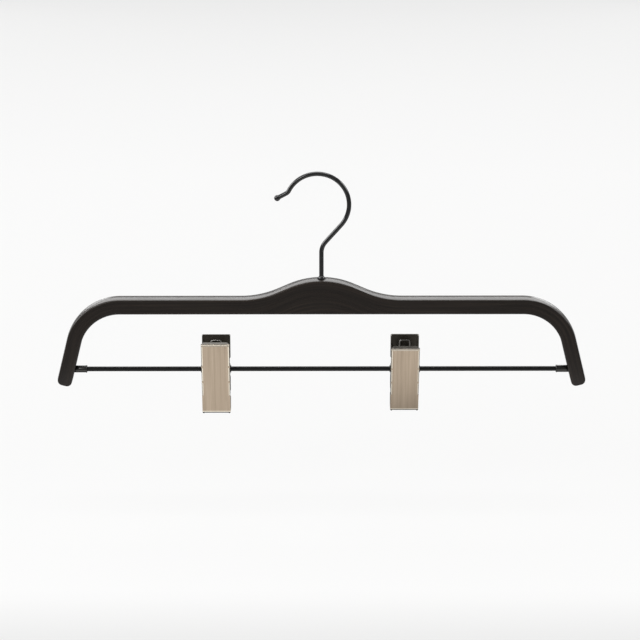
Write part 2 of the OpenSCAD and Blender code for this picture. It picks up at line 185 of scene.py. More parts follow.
def blendColour(tree, share, first, second, kind="MIX"):
    node = tree.nodes.new("ShaderNodeMix")
    node.data_type = "RGBA"
    node.blend_type = kind
    feed(tree, share, node.inputs["Factor"])
    for name, value in (("A", first), ("B", second)):
        slot = [s for s in node.inputs if s.name == name and s.type == "RGBA"][0]
        feed(tree, value if isinstance(value, bpy.types.NodeSocket) else (*value, 1), slot)
    return [s for s in node.outputs if s.type == "RGBA"][0]


def bump(tree, shader, height, strength, distance):
    node = tree.nodes.new("ShaderNodeBump")
    node.inputs["Strength"].default_value = strength
    node.inputs["Distance"].default_value = distance
    tree.links.new(height, node.inputs["Height"])
    tree.links.new(node.outputs["Normal"], shader.inputs["Normal"])


def objectPlace(tree):
    return tree.nodes.new("ShaderNodeTexCoord").outputs["Object"]


def split(tree, vector):
    node = tree.nodes.new("ShaderNodeSeparateXYZ")
    tree.links.new(vector, node.inputs["Vector"])
    return node.outputs["X"], node.outputs["Y"], node.outputs["Z"]


def palePaper(s):
    paper, tree, shader = newFinish("palePaper")
    shader.inputs["Base Color"].default_value = (s["paperGrey"],) * 3 + (1,)
    shader.inputs["Roughness"].default_value = s["paperRoughness"]
    shader.inputs["Specular IOR Level"].default_value = 0.0
    shader.inputs["Emission Color"].default_value = (*s["paperTint"], 1)
    # painted glow: most of the paper's brightness is its own emission, set by distance along the floor
    tones = s["paperGlowByDepth"]
    near, far = tones[0][0], tones[-1][0]
    depth = tree.nodes.new("ShaderNodeMapRange")
    depth.inputs["From Min"].default_value = near
    depth.inputs["From Max"].default_value = far
    tree.links.new(split(tree, objectPlace(tree))[1], depth.inputs["Value"])
    stops = [((y - near) / (far - near), (grey, grey, grey)) for y, grey in tones]
    seen = ramp(tree, depth.outputs["Result"], *stops)
    looked = tree.nodes.new("ShaderNodeLightPath").outputs["Is Camera Ray"]
    dim = (s["paperAsLight"],) * 3
    tree.links.new(blendColour(tree, looked, dim, seen), shader.inputs["Emission Strength"])
    return paper


def buildRoom(s):
    low = -s["floorDrop"] * mm
    half = s["floorHalf"] * mm
    corners = [(-half, -half, low), (half, -half, low), (half, half, low), (-half, half, low)]
    mesh = bpy.data.meshes.new("paperFloor")
    mesh.from_pydata(corners, [], [(0, 1, 2, 3)])
    floor = bpy.data.objects.new("paperFloor", mesh)
    bpy.context.scene.collection.objects.link(floor)
    mesh.materials.append(palePaper(s))
    world = bpy.data.worlds.new("softRoom")
    world.use_nodes = True
    tree = world.node_tree
    back = tree.nodes["Background"]
    back.inputs["Color"].default_value = (1, 1, 1, 1)
    seen = tree.nodes.new("ShaderNodeMapRange")        # pale where it is looked at, dimmer as a light
    seen.inputs["To Min"].default_value = s["roomLight"]
    seen.inputs["To Max"].default_value = s["roomSeen"]
    looked = tree.nodes.new("ShaderNodeLightPath").outputs["Is Camera Ray"]
    tree.links.new(looked, seen.inputs["Value"])
    tree.links.new(seen.outputs["Result"], back.inputs["Strength"])
    bpy.context.scene.world = world
    bpy.context.scene.view_settings.view_transform = "Standard"
    for lamp in lamps:
        softLamp(*lamp)


placeCamera(studio)
buildRoom(studio)
print("camera and studio placed")


# shapes are made in bmesh in millimetres, then shown at their real size

def showMesh(name, shape, finish, body, stands=(), sharpDeg=40, place=None):
    if place is not None:
        shape.transform(place)
    shape.transform(Matrix.Scale(mm, 4))
    mesh = bpy.data.meshes.new(name)
    bmesh.ops.recalc_face_normals(shape, faces=shape.faces)
    shape.to_mesh(mesh)
    shape.free()
    piece = bpy.data.objects.new(name, mesh)
    bpy.context.scene.collection.objects.link(piece)
    mesh.materials.append(finish)
    for face in mesh.polygons:
        face.use_smooth = True
    mesh.set_sharp_from_angle(angle=math.radians(sharpDeg))
    if body:
        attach(piece, body)
    if stands:
        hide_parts(*stands)
    return piece


def softenNormals(piece):
    even = piece.modifiers.new("evenNormals", "WEIGHTED_NORMAL")
    even.keep_sharp = True
    even.weight = 80


# rings are lists of corners, joined one to the next by four-sided faces
def skin(shape, rings, closed=False):
    n = len(rings[0])
    pairs = list(zip(rings, rings[1:])) + ([(rings[-1], rings[0])] if closed else [])
    for low, high in pairs:
        for k in range(n):
            shape.faces.new((low[k], low[(k + 1) % n], high[(k + 1) % n], high[k]))


def skinWithEnds(shape, rings):
    skin(shape, rings)
    shape.faces.new(rings[0][::-1])
    shape.faces.new(rings[-1])


# a tube along a path, its radius one number or a function of the ring and the angle
def tubeRings(shape, path, radius, sides, side):
    last = len(path) - 1
    rings = []
    for i, point in enumerate(path):
        way = (path[min(i + 1, last)] - path[max(i - 1, 0)]).normalized()
        side = (side - way * side.dot(way)).normalized()
        other = way.cross(side)
        ring = []
        for k in range(sides):
            a = 2 * math.pi * k / sides
            r = radius(i, a) if callable(radius) else radius
            ring.append(shape.verts.new(point + r * (math.cos(a) * side + math.sin(a) * other)))
        rings.append(ring)
    skinWithEnds(shape, rings)


# the profile is (radius, height) pairs round a closed loop, or from axis to axis at radius 0
def turnShape(shape, profile, sides, place):
    start = len(shape.verts)
    rings = []
    for r, z in profile:
        if r > 0:
            angles = [2 * math.pi * k / sides for k in range(sides)]
            rings.append([shape.verts.new((r * math.cos(a), r * math.sin(a), z)) for a in angles])
    solid = profile[0][0] == 0
    skin(shape, rings, closed=not solid)
    if solid:
        for ring, height in ((rings[0], profile[0][1]), (rings[-1], profile[-1][1])):
            tip = shape.verts.new((0, 0, height))
            for k in range(sides):
                shape.faces.new((ring[k], ring[(k + 1) % sides], tip))
    shape.verts.ensure_lookup_table()
    bmesh.ops.transform(shape, matrix=place, verts=shape.verts[start:])


def arc(centreR, centreZ, radius, fromDeg, toDeg, steps):
    points = []
    for i in range(steps + 1):
        a = math.radians(fromDeg + (toDeg - fromDeg) * i / steps)
        points.append((centreR + radius * math.cos(a), centreZ + radius * math.sin(a)))
    return points


# how a CAD piece is cleaned before its edges are softened, in mm and degrees
refining = {"weldGap": 0.002, "flatDeg": 0.7, "sharpDeg": 32, "segments": 2, "strayShare": 0.5}


def refinedCopy(node, soften):
    shape = bmesh.new()
    shape.from_mesh(nodes[node].data)
    shape.transform(Matrix.Scale(1 / mm, 4))
    bmesh.ops.remove_doubles(shape, verts=shape.verts, dist=refining["weldGap"])
    bmesh.ops.dissolve_limit(shape, angle_limit=math.radians(refining["flatDeg"]),
                             verts=shape.verts, edges=shape.edges)
    before = BVHTree.FromBMesh(shape)
    least = math.radians(refining["sharpDeg"])
    sharp = [e for e in shape.edges if len(e.link_faces) == 2 and e.calc_face_angle(0) > least]
    bmesh.ops.bevel(shape, geom=sharp, offset=soften, offset_type="OFFSET", segments=refining["segments"],
                    profile=0.5, affect="EDGES", clamp_overlap=False)
    for v in shape.verts:                              # corners the bevel threw out come back to the surface
        spot, _, _, gap = before.find_nearest(v.co)
        if gap > soften * refining["strayShare"]:
            v.co = spot
    return shape


# sizes shared by several pieces, in millimetres and degrees; the hook's rail is at height 0
hanger = {
    "shankX": 2.9, "crownTop": -75.6, "crownRise": 14.0, "armWidth": 10.8, "barDrop": 42.6,
    "leftClipX": -76.0, "leftSwing": 3.4, "rightClipX": 60.0, "rightSwing": 12.4, "jawLean": 8.1,
    "legGap": 354.8,
}
armTop = hanger["crownTop"] - hanger["crownRise"]
armUnder = armTop - hanger["armWidth"]
barZ = armUnder - hanger["barDrop"]


def onShank():
    return Matrix.Translation((hanger["shankX"], 0, 0))


def alongBar(x, flip=False):
    return Matrix.Translation((x, 0, barZ)) @ Matrix.Rotation(math.radians(-90 if flip else 90), 4, "Y")


# the board: one laminated strip bent over the shoulders, fuller at the crown
board = {
    "crownHalf": 57.5, "crownEase": 1.72, "crownShare": 0.47,
    "thickness": 12.4, "edgeRound": 1.1, "legWidth": 10.3,
    "shoulderInner": 29.0, "legLean": 14.2, "legBelow": 11.4, "footRound": 3.6,
    "boreD": 6.64, "pocketD": 11.0, "pocketDepth": 7.0, "socketD": 5.14, "socketDepth": 6.8,
    "rimSoftness": 0.25, "fullness": 0.36,
    "armSteps": 96, "shoulderSteps": 72, "legSteps": 14, "footSteps": 12, "cornerSteps": 6, "faceSteps": 8,
    "boreSides": 64, "socketSides": 48,
    # noise patterns: scale along, down and across the strip, detail, roughness
    "figure": ((0.012, 0.55, 0.35), 5.0, 0.6), "pores": ((0.05, 6.5, 5.0), 3.0, 0.65), "poreShare": 0.35,
    "wander": ((0.01, 0.0, 0.0), 2.0), "patches": ((0.03, 0.12, 0.12), 3.0),
    "grain": [(0.32, (0.0085, 0.0062, 0.0048)), (0.52, (0.019, 0.0140, 0.0108)),
              (0.72, (0.042, 0.0295, 0.0215))],
    "layer": 1.8, "layerLine": 0.10, "layerShade": 0.55, "layerWander": 0.9, "layerDepth": 0.5,
    "roughnessLow": 0.25, "roughnessHigh": 0.37, "gloss": 0.15,
    "sheen": 0.6, "sheenIndex": 1.35, "sheenRoughness": 0.12, "grainDepth": 0.12, "grainReach": 0.0003,
}


def blackWood(b):
    finish, tree, shader = newFinish("blackLacqueredWood")
    spot = tree.nodes.new("ShaderNodeAttribute")
    spot.attribute_name = "grain"                      # along the strip, depth under its top edge, across
    along = spot.outputs["Vector"]
    figure = calc(tree, "MULTIPLY", noise(tree, along, *b["figure"]), 1 - b["poreShare"])
    mixed = calc(tree, "MULTIPLY_ADD", noise(tree, along, *b["pores"]), b["poreShare"], figure)
    # fine dark lines where the layers meet
    depth = split(tree, along)[1]
    depth = calc(tree, "MULTIPLY_ADD", noise(tree, along, *b["wander"]), b["layerWander"], depth)
    phase = calc(tree, "FRACT", calc(tree, "DIVIDE", depth, b["layer"]))
    fromLine = calc(tree, "ABSOLUTE", calc(tree, "SUBTRACT", phase, 0.5))
    line = spread(tree, fromLine, 0.0, b["layerLine"])
    shade = calc(tree, "MULTIPLY_ADD", line, 1 - b["layerShade"], b["layerShade"])
    colour = blendColour(tree, 1.0, ramp(tree, mixed, *b["grain"]), shade, "MULTIPLY")
    tree.links.new(colour, shader.inputs["Base Color"])
    patches = noise(tree, along, *b["patches"])
    rough = spread(tree, patches, noiseLow, noiseHigh, b["roughnessLow"], b["roughnessHigh"])
    tree.links.new(rough, shader.inputs["Roughness"])
    shader.inputs["Specular IOR Level"].default_value = b["gloss"]
    shader.inputs["Coat Weight"].default_value = b["sheen"]
    shader.inputs["Coat IOR"].default_value = b["sheenIndex"]
    shader.inputs["Coat Roughness"].default_value = b["sheenRoughness"]
    height = calc(tree, "MULTIPLY_ADD", line, b["layerDepth"], mixed)
    bump(tree, shader, height, b["grainDepth"], b["grainReach"])
    return finish


# the board's top edge by distance from the shank: the crown's arc, a straight flank, an arc into the arm
def crownLine(b):
    top, rise, half = hanger["crownTop"], hanger["crownRise"], b["crownHalf"]
    slope = b["crownEase"] * math.atan(rise / half)
    arcs = (half * math.sin(slope) - rise * math.cos(slope)) / (1 - math.cos(slope))
    crownR = b["crownShare"] * arcs
    flankR = arcs - crownR
    crownEnd = crownR * math.sin(slope)
    flankStart = half - flankR * math.sin(slope)

    def topAt(x):
        if x >= half:
            return armTop
        if x <= crownEnd:
            return top - crownR + math.sqrt(crownR ** 2 - x ** 2)
        if x >= flankStart:
            return armTop + flankR - math.sqrt(flankR ** 2 - (half - x) ** 2)
        return top - crownR * (1 - math.cos(slope)) - (x - crownEnd) * math.tan(slope)
    return topAt


# how far a rounded end has drawn in, this many mm before its tip
def drawnIn(radius, left):
    return radius - math.sqrt(max(radius ** 2 - (radius - left) ** 2, 0)) if left < radius else 0.0


# one entry for each ring of the strip, from foot to foot:
# way along, outer point, inner point, how much narrower and how much thinner than the full strip
def boardStations(b):
    lean = math.radians(b["legLean"])
    width = hanger["armWidth"]
    mid = b["shoulderInner"] + width / 2
    shoulderZ = armUnder - b["shoulderInner"]
    legAtBar = hanger["legGap"] / 2 + width / math.cos(lean) / 2
    legTop = shoulderZ + mid * math.sin(lean)
    shoulderX = legAtBar - (legTop - barZ) * math.tan(lean) - mid * math.cos(lean)
    legLength = (legTop - barZ) / math.cos(lean) + b["legBelow"]
    topAt = crownLine(b)
    stations = []
    for i in range(b["armSteps"] + 1):
        x = shoulderX * i / b["armSteps"]
        stations.append((x, (x, topAt(x)), (x, armUnder), 0.0, 0.0))
    bend = math.pi / 2 - lean
    for i in range(1, b["shoulderSteps"] + 1):
        share = i / b["shoulderSteps"]
        a = math.pi / 2 - bend * share
        half = (width + (b["legWidth"] - width) * share) / 2
        ends = [(shoulderX + r * math.cos(a), shoulderZ + r * math.sin(a)) for r in (mid + half, mid - half)]
        stations.append((shoulderX + mid * bend * share, *ends, 0.0, 0.0))
    along = shoulderX + mid * bend
    out = Vector((math.cos(lean), math.sin(lean)))
    down = Vector((math.sin(lean), -math.cos(lean)))
    start = Vector((shoulderX, shoulderZ)) + out * mid
    foot, half = b["footRound"], b["legWidth"] / 2
    even = [legLength * i / b["legSteps"] for i in range(1, b["legSteps"])]
    drops = [d for d in even if d < legLength - foot - 0.5]     # no ring close above the rounded foot
    for i in range(b["footSteps"] + 1):
        drops.append(legLength - foot * (1 - math.sin(math.radians(90 * i / b["footSteps"]))))
    for d in drops:
        centre = start + down * d
        stations.append((along + d, tuple(centre + out * half), tuple(centre - out * half),
                         drawnIn(foot, legLength - d), drawnIn(b["edgeRound"], legLength - d)))
    mirrored = [(-s, (-o[0], o[1]), (-i[0], i[1]), w, t) for s, o, i, w, t in stations[:0:-1]]
    return mirrored + stations


def boardRing(shape, grain, b, station):
    s, outer, inner, narrower, thinner = station
    outer, inner = Vector(outer), Vector(inner)
    height = (outer - inner).length
    up = (outer - inner) / height
    h = height / 2 - narrower
    t = b["thickness"] / 2 - thinner
    r = min(b["edgeRound"], h * 0.95, t * 0.95)        # a thin end keeps a little flat
    centre = (outer + inner) / 2
    corners = []
    for sideY, sideUp, first in ((1, 1, 0), (1, -1, 270), (-1, -1, 180), (-1, 1, 90)):
        for k in range(b["cornerSteps"] + 1):
            a = math.radians(first + 90 - 90 * k / b["cornerSteps"])
            corners.append((sideY * (t - r) + r * math.cos(a), sideUp * (h - r) + r * math.sin(a)))
    section = []
    steps = b["faceSteps"]
    for k, (y0, a0) in enumerate(corners):
        section.append((y0, a0))
        if (k + 1) % (b["cornerSteps"] + 1) == 0:      # the corner ends and a flat face starts
            y1, a1 = corners[(k + 1) % len(corners)]
            section += [(y0 + (y1 - y0) * j / steps, a0 + (a1 - a0) * j / steps) for j in range(1, steps)]
    ring = []
    for y, a in section:
        if a > 0 and abs(y) < t - r:                   # the top is a little fuller in the middle
            a += b["fullness"] * (1 - (y / (t - r)) ** 2)
        point = centre + up * a
        v = shape.verts.new((point.x + hanger["shankX"], y, point.y))
        v[grain] = (s, height / 2 - a, y)
        ring.append(v)
    return ring


def cutAway(piece, cutter):
    tool = showMesh("cutter", cutter, piece.data.materials[0], None)
    step = piece.modifiers.new("cut", "BOOLEAN")
    step.operation = "DIFFERENCE"
    step.solver = "EXACT"
    step.object = tool
    bpy.context.view_layer.update()
    cut = bpy.data.meshes.new_from_object(piece.evaluated_get(bpy.context.evaluated_depsgraph_get()))
    piece.modifiers.clear()
    piece.data = cut
    bpy.data.objects.remove(tool)


def buildBoard(b):
    shape = bmesh.new()
    grain = shape.verts.layers.float_vector.new("grain")
    skinWithEnds(shape, [boardRing(shape, grain, b, station) for station in boardStations(b)])
    piece = showMesh("laminatedBoard", shape, blackWood(b), None, ["hanger_frame"])
    cutter = bmesh.new()
    bore, pocket, socket, rim = b["boreD"] / 2, b["pocketD"] / 2, b["socketD"] / 2, b["rimSoftness"]
    past, holeLength = 3, 20                           # the cutters run on past the wood
    top, pocketTop = hanger["crownTop"], armUnder + b["pocketDepth"]
    shaft = [(0, armUnder - past), (pocket + rim, armUnder - past), (pocket + rim, armUnder),
             (pocket, armUnder + rim), (pocket, pocketTop), (bore, pocketTop), (bore, top - rim),
             (bore + rim, top), (bore + rim, top + past), (0, top + past)]
    turnShape(cutter, shaft, b["boreSides"], onShank())
    depth = hanger["legGap"] / 2 + b["socketDepth"]
    hole = [(0, depth - holeLength), (socket, depth - holeLength), (socket, depth), (0, depth)]
    for flip in (True, False):
        turnShape(cutter, hole, b["socketSides"], alongBar(hanger["shankX"], flip))
    cutAway(piece, cutter)
    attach(piece, "frame_body")
    softenNormals(piece)


buildBoard(board)
print("board built")

# black lacquer on metal: how fine its flecks and ripples are
lacquer = {"fleck": ((260, 260, 260), 3.0), "fleckDark": 0.35, "fleckLight": 0.7,
           "smoothFleck": 0.3, "roughFleck": 0.75, "smoother": 0.04, "rougher": 0.08,
           "ripple": ((900, 900, 900), 2.0), "rippleDepth": 0.06, "rippleReach": 0.0001,
           "coatShare": 0.7, "coatRoughness": 0.1}

# the hook: one lacquered wire with a ball at its tip and a thread at its foot
hookWire = {
    "wireD": 3.2, "loopR": 20.9, "neckLean": 41.5, "neckBendR": 12.0, "loopEnd": 151.5,
    "tipGap": 0.6, "tipBendR": 5.0, "tipTurn": 33.5, "tipLength": 7.0,
    "ballD": 4.4, "ballNeck": 1.6, "ballJoin": 10, "ballPole": 0.12,
    "foot": -98.0, "footTaper": 0.35, "footTaperLength": 0.5,
    "threadTop": -93.6, "threadPitch": 0.6, "threadDepth": 0.22, "threadFade": 0.6,
    "sides": 40, "threadStep": 0.1, "runStep": 1.5, "bendStepDeg": 2.5, "bendStepsLeast": 6, "ballSteps": 40,
    "dark": (0.004, 0.004, 0.0045), "light": (0.011, 0.0108, 0.011), "roughness": 0.17, "gloss": 0.5,
}
collar = {"ballD": 5.2, "lift": 0.3, "boreD": 3.24, "sides": 48, "steps": 20}
bush = {"outerD": 6.6, "boreD": 3.3, "bottom": -93.4, "ballD": 5.3, "bottomEdge": 0.3, "topEdge": 0.25,
        "sides": 64, "edgeSteps": 4, "seatSteps": 12,
        "dark": (0.027, 0.0258, 0.024), "light": (0.045, 0.043, 0.040), "roughness": 0.35}


def blackLacquer(name, part, gloss=0.22):
    finish, tree, shader = newFinish(name)
    where = objectPlace(tree)
    fleck = noise(tree, where, *lacquer["fleck"])
    ripple = noise(tree, where, *lacquer["ripple"])
    colour = ramp(tree, fleck, (lacquer["fleckDark"], part["dark"]), (lacquer["fleckLight"], part["light"]))
    tree.links.new(colour, shader.inputs["Base Color"])
    rough = spread(tree, fleck, lacquer["smoothFleck"], lacquer["roughFleck"],
                   part["roughness"] - lacquer["smoother"], part["roughness"] + lacquer["rougher"])
    tree.links.new(rough, shader.inputs["Roughness"])
    shader.inputs["Specular IOR Level"].default_value = gloss
    shader.inputs["Coat Weight"].default_value = gloss * lacquer["coatShare"]
    shader.inputs["Coat Roughness"].default_value = lacquer["coatRoughness"]
    bump(tree, shader, ripple, lacquer["rippleDepth"], lacquer["rippleReach"])
    return finish


# points along the wire's middle, from the threaded foot to the ball's middle
def hookLine(h):
    wire = h["wireD"] / 2
    lean = math.radians(h["neckLean"])
    loop = h["loopR"] + wire
    neckRun = (loop * math.cos(lean) - hanger["shankX"]) / math.sin(lean)
    neckZ = -h["loopR"] - loop * math.sin(lean) - neckRun * math.cos(lean)
    bendRun = h["neckBendR"] * math.tan(lean / 2)
    runs = [neckZ - bendRun - h["foot"], neckRun - bendRun, h["tipGap"], h["tipLength"]]
    bends = [(h["neckBendR"], h["neckLean"]), (loop, -h["neckLean"] - h["loopEnd"]),
             (h["tipBendR"], h["tipTurn"]), (0, 0)]
    x, z, heading = hanger["shankX"], h["foot"], 0.0
    points = [(x, z)]
    for run, (radius, turnDeg) in zip(runs, bends):
        count = max(1, round(run / (h["threadStep"] if z < h["threadTop"] else h["runStep"])))
        for i in range(1, count + 1):
            points.append((x + math.sin(heading) * run * i / count, z + math.cos(heading) * run * i / count))
        x, z = points[-1]
        if not turnDeg:                                # the last run has no bend after it
            break
        turn = math.radians(turnDeg)
        way = math.copysign(1, turn)
        cx, cz = x + way * radius * math.cos(heading), z - way * radius * math.sin(heading)
        count = max(h["bendStepsLeast"], round(abs(turnDeg) / h["bendStepDeg"]))
        for i in range(1, count + 1):
            a = heading + turn * i / count
            points.append((cx - way * radius * math.cos(a), cz + way * radius * math.sin(a)))
        x, z = points[-1]
        heading += turn
    return points, heading


def buildHook(h, finish):
    points, heading = hookLine(h)
    wire, ball = h["wireD"] / 2, h["ballD"] / 2
    endX, endZ = points[-1]
    neck = h["ballNeck"] * ball                        # where the wire starts to swell into the ball
    line = [(x, z) for x, z in points if math.hypot(x - endX, z - endZ) > neck]
    radii = [wire] * len(line)
    for i in range(h["ballSteps"] + 1):
        s = -neck + (neck + ball) * i / h["ballSteps"]
        bulb = math.sqrt(max(ball ** 2 - s ** 2, 0.0))
        stem = wire if s < 0 else 0.0
        joined = (bulb ** h["ballJoin"] + stem ** h["ballJoin"]) ** (1 / h["ballJoin"])
        radii.append(max(joined, h["ballPole"]))       # the larger of the two, softly joined
        line.append((endX + math.sin(heading) * s, endZ + math.cos(heading) * s))
    fadeTop = h["threadTop"] + h["threadFade"] / 2

    def radius(i, a):
        z = line[i][1]
        if z > fadeTop:
            return radii[i]
        turn = (z / h["threadPitch"] - a / (2 * math.pi)) % 1.0
        cut = h["threadDepth"] * min(1.0, (fadeTop - z) / h["threadFade"])
        taper = h["footTaper"] * max(0.0, 1 - (z - h["foot"]) / h["footTaperLength"])
        return radii[i] - cut * abs(2 * turn - 1) - taper

    shape = bmesh.new()
    tubeRings(shape, [Vector((x, 0, z)) for x, z in line], radius, h["sides"], Vector((1, 0, 0)))
    showMesh("hookWire", shape, finish, "hook_body", ["hook"], sharpDeg=50)


def buildCollar(c, finish):
    middle = hanger["crownTop"] + c["lift"]
    ball, bore = c["ballD"] / 2, c["boreD"] / 2
    reach = math.degrees(math.acos(bore / ball))
    shape = bmesh.new()
    profile = arc(0, middle, ball, -reach, reach, c["steps"]) + [(bore, middle)]
    turnShape(shape, profile, c["sides"], onShank())
    showMesh("hookCollar", shape, finish, "hook_body", ["hook_collar"], sharpDeg=60)


def buildBush(b, c):
    top, middle = hanger["crownTop"], hanger["crownTop"] + c["lift"]
    seat, hole, outer = b["ballD"] / 2, b["boreD"] / 2, b["outerD"] / 2
    seatTop = math.degrees(math.asin((top - middle) / seat))
    seatEnd = -math.degrees(math.acos(hole / seat))
    bottom, low, high = b["bottom"], b["bottomEdge"], b["topEdge"]
    profile = [(hole, bottom), (outer - low, bottom), (outer, bottom + low)]
    profile += arc(outer - high, top - high, high, 0, 90, b["edgeSteps"])
    profile += arc(0, middle, seat, seatTop, seatEnd, b["seatSteps"])
    shape = bmesh.new()
    turnShape(shape, profile, b["sides"], onShank())
    showMesh("hookBush", shape, blackLacquer("darkNylon", b), "frame_body", ["hook_bush"])


wireLacquer = blackLacquer("blackWireLacquer", hookWire, hookWire["gloss"])
buildHook(hookWire, wireLacquer)
buildCollar(collar, wireLacquer)
buildBush(bush, collar)
print("hook, collar and bush built")

# the washer and nut under the crown, and drawing marks for all bare metal
fastening = {"tone": (0.52, 0.53, 0.55), "roughness": 0.30, "marks": (2600, 2600, 2600),
             "washerEdge": 0.12, "nutEdge": 0.18}
drawing = {"darker": 0.82, "rougher": 0.08, "smoother": 0.05, "depth": 0.08, "reach": 0.00003}


def drawnSteel(name, part):
    finish, tree, shader = newFinish(name)
    marks = noise(tree, objectPlace(tree), part["marks"])
    low = tuple(c * drawing["darker"] for c in part["tone"])
    colour = ramp(tree, marks, (noiseLow, low), (noiseHigh, part["tone"]))
    tree.links.new(colour, shader.inputs["Base Color"])
    rough = spread(tree, marks, noiseLow, noiseHigh, part["roughness"] + drawing["rougher"],
                   part["roughness"] - drawing["smoother"])
    tree.links.new(rough, shader.inputs["Roughness"])
    shader.inputs["Metallic"].default_value = 1.0
    bump(tree, shader, marks, drawing["depth"], drawing["reach"])
    return finish


def buildFastening(f):
    zinc = drawnSteel("zincPlate", f)
    washer, nut = refinedCopy("hook_washer", f["washerEdge"]), refinedCopy("hook_nut", f["nutEdge"])
    softenNormals(showMesh("hookWasher", washer, zinc, "hook_body", ["hook_washer"]))
    softenNormals(showMesh("hookNut", nut, zinc, "hook_body", ["hook_nut"]))


buildFastening(fastening)
print("washer and nut built")

# the bar and the ferrules that hold it in the legs
bar = {"barD": 3.5, "half": 184.0, "chamfer": 0.35, "rings": 40, "sides": 48,
       "dark": (0.003, 0.003, 0.003), "light": (0.007, 0.0068, 0.0066), "roughness": 0.30}
ferrule = {"outerD": 5.1, "boreD": 3.54, "length": 15.2, "show": 8.4, "lipHeight": 0.2, "lipLength": 0.8,
           "mouthEdge": 0.12, "endEdge": 0.2, "sides": 48, "lipStepDeg": 20,
           "tone": (0.07, 0.068, 0.065), "roughness": 0.24, "marks": (500, 900, 900)}


def buildBar(b):
    r, half, c = b["barD"] / 2, b["half"], b["chamfer"]
    profile = [(0, -half), (r - c, -half), (r, -half + c)]
    profile += [(r, -half + c + (2 * half - 2 * c) * i / b["rings"]) for i in range(1, b["rings"])]
    profile += [(r, half - c), (r - c, half), (0, half)]
    shape = bmesh.new()
    turnShape(shape, profile, b["sides"], alongBar(hanger["shankX"]))
    paint = blackLacquer("blackBarLacquer", b)
    showMesh("trouserBar", shape, paint, "frame_body", ["trouser_bar"], sharpDeg=50)


def buildFerrules(f):
    nickel = drawnSteel("darkNickel", f)
    outer, bore, lip, edge = f["outerD"] / 2, f["boreD"] / 2, f["lipLength"] / 2, f["mouthEdge"]
    profile = [(bore, edge), (bore + edge, 0)]
    for deg in range(0, 181, f["lipStepDeg"]):         # the rolled lip
        a = math.radians(deg)
        profile.append((outer + f["lipHeight"] * math.sin(a), lip * (1 - math.cos(a))))
    profile += [(outer, f["length"] - f["endEdge"]), (outer - f["endEdge"], f["length"]), (bore, f["length"])]
    for side, name in ((-1, "left"), (1, "right")):
        shape = bmesh.new()
        x = hanger["shankX"] + side * (hanger["legGap"] / 2 - f["show"])
        turnShape(shape, profile, f["sides"], alongBar(x, side < 0))
        showMesh(name + "Ferrule", shape, nickel, "frame_body", [name + "_ferrule"], sharpDeg=45)


buildBar(bar)
buildFerrules(ferrule)
print("bar and ferrules built")

# the clips: two folded jaws, their pads, the sleeve they turn on and the spring
jaw = {
    "edge": 0.11,
    "brass": [(0.28, (0.36, 0.285, 0.215)), (0.5, (0.46, 0.37, 0.28)), (0.74, (0.56, 0.46, 0.355))],
    "paintedHighlight": (1.0, 0.92, 0.78), "patina": (0.13, 0.120, 0.103), "flange": (0.125, 0.116, 0.102),
    # brush marks run down the face: scale across, out and down, detail, roughness
    "hair": ((4200, 900, 34), 4.0, 0.7), "bands": ((620, 200, 14), 3.0, 0.55),
    "roughnessHigh": 0.42, "roughnessLow": 0.31, "brushDepth": 0.16, "brushReach": 0.00004,
    # how far a place has to face outwards, from none to all of each look; the flange has to face up
    "brushedFacing": (0.42, 0.72), "highlightFacing": (0.48, 0.72), "flatFacing": (0.95, 0.998),
    "toeFacing": (0.8, 0.95), "flangeFacing": (0.5, 0.95), "hairShare": 0.2,
    # how high the painted shade line at the toe and the painted highlight line over it reach, mm above the
    # toe
    "toeShadeTone": (0.06, 0.054, 0.046), "toeShadeHeight": 1.3, "toeShadeFade": 0.12,
    "toeHighlight": 2.1, "toeHighlightFade": 0.15,
}
padRubber = {"dark": (0.006, 0.006, 0.006), "light": (0.018, 0.018, 0.017), "edge": 0.14,
             "grit": (1400, 1400, 1400), "gritDepth": 0.25, "gritReach": 0.0001,
             "roughness": 0.62, "gloss": 0.3}
sleeve = {"outerD": 4.4, "boreD": 3.6, "bodyHalf": 10.4, "flareD": 5.6, "flare": 0.5, "flareBack": 0.02,
          "flareFlat": 0.1, "flareStepDeg": 15, "lastRing": 1, "sides": 48}
springWire = {
    "wireD": 1.2, "coilR": 3.1, "turns": 2, "bridgeHalf": 3.7, "bridgeZ": 18.0, "tipZ": 14.0, "bridgeR": 1.4,
    "coilOut": 7.6, "jawSet": 8.6, "restDepth": 1.42, "tipDepth": 1.6,
    "sides": 20, "ringsPerTurn": 28, "legSteps": 8, "cornerSteps": 10,
    "tone": (0.42, 0.405, 0.385), "roughness": 0.20, "marks": (2600, 2600, 2600),
}
